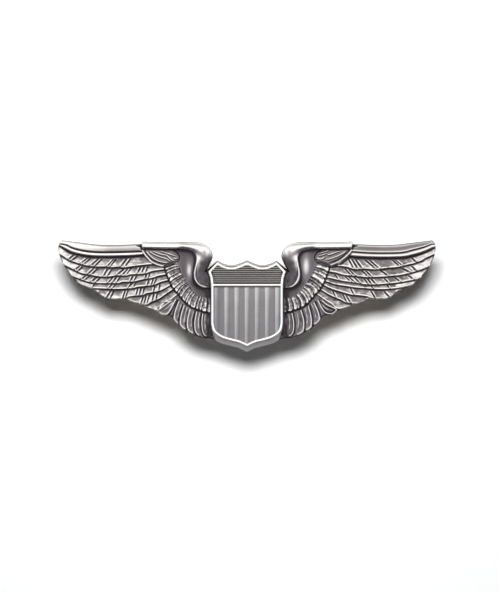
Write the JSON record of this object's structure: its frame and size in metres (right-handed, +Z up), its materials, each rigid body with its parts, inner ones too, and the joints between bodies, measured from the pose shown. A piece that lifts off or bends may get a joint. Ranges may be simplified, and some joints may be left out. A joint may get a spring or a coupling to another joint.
{
  "type": "pilot wings pin",
  "caption": "Metal badge of two spread feathered wings with a striped shield between them, held through cloth by grooved posts and butterfly clutches.",
  "frame": {"origin": "on the flat back of the wing plate, behind the middle of the shield", "axes": "+X to the viewer's right along the wings, +Z up as worn, +Y into the wearer's cloth, so the decorated front faces -Y"},
  "size_m": [0.0762, 0.0126, 0.0226],
  "materials": {
    "badge_silver": "silver-plated struck brass, blackened in the recesses and polished on the high points",
    "post_silver": "silver-plated brass wire, drawn and turned",
    "solder": "dull soft solder fillet",
    "clutch_brass": "pressed brass sheet, bright with light handling marks",
    "finger_brass": "pressed brass sheet, rubbed brighter on the finger tabs",
    "spring_steel": "drawn spring wire"
  },
  "bodies": {
    "badge": {"wing_plate": "badge_silver", "shield": "badge_silver", "left_post": "post_silver", "left_post_solder": "solder", "right_post": "post_silver", "right_post_solder": "solder"},
    "left_cup": {"left_clutch_cup": "clutch_brass"},
    "left_cover": {"left_clutch_cover": "clutch_brass", "left_clutch_spring": "spring_steel"},
    "left_upper_finger": {"left_clutch_upper_wing": "finger_brass"},
    "left_lower_finger": {"left_clutch_lower_wing": "finger_brass"},
    "right_cup": {"right_clutch_cup": "clutch_brass"},
    "right_cover": {"right_clutch_cover": "clutch_brass", "right_clutch_spring": "spring_steel"},
    "right_upper_finger": {"right_clutch_upper_wing": "finger_brass"},
    "right_lower_finger": {"right_clutch_lower_wing": "finger_brass"}
  },
  "joints": [
    {"name": "left_clutch_pull", "type": "slide", "parent": "badge", "child": "left_cup", "axis": [0, 1, 0], "range_m": [0, 0.01], "deforming": ["left_clutch_spring"]},
    {"name": "left_clutch_swivel", "type": "hinge", "parent": "left_cup", "child": "left_cover", "pos_m": [-0.0205, 0.003, 0.0046], "axis": [0, 1, 0], "continuous": true},
    {"name": "left_clutch_squeeze", "type": "hinge", "parent": "left_cover", "child": "left_upper_finger", "pos_m": [-0.0205, 0.00485, 0.0058], "axis": [-1, 0, 0], "range_deg": [0, 12], "stiffness_Nm_per_rad": 0.0005, "deforming": ["left_clutch_spring"]},
    {"name": "left_clutch_squeeze_lower", "type": "hinge", "parent": "left_cover", "child": "left_lower_finger", "pos_m": [-0.0205, 0.00485, 0.0034], "axis": [1, 0, 0], "range_deg": [0, 12], "stiffness_Nm_per_rad": 0.0005, "deforming": ["left_clutch_spring"]},
    {"name": "right_clutch_pull", "type": "slide", "parent": "badge", "child": "right_cup", "axis": [0, 1, 0], "range_m": [0, 0.01], "deforming": ["right_clutch_spring"]},
    {"name": "right_clutch_swivel", "type": "hinge", "parent": "right_cup", "child": "right_cover", "pos_m": [0.0205, 0.003, 0.0046], "axis": [0, 1, 0], "continuous": true},
    {"name": "right_clutch_squeeze", "type": "hinge", "parent": "right_cover", "child": "right_upper_finger", "pos_m": [0.0205, 0.00485, 0.0058], "axis": [-1, 0, 0], "range_deg": [0, 12], "stiffness_Nm_per_rad": 0.0005, "deforming": ["right_clutch_spring"]},
    {"name": "right_clutch_squeeze_lower", "type": "hinge", "parent": "right_cover", "child": "right_lower_finger", "pos_m": [0.0205, 0.00485, 0.0034], "axis": [1, 0, 0], "range_deg": [0, 12], "stiffness_Nm_per_rad": 0.0005, "deforming": ["right_clutch_spring"]}
  ],
  "couplings": [
    {"joint": "left_clutch_squeeze_lower", "follows": "left_clutch_squeeze", "ratio": 1},
    {"joint": "right_clutch_squeeze_lower", "follows": "right_clutch_squeeze", "ratio": 1}
  ]
}
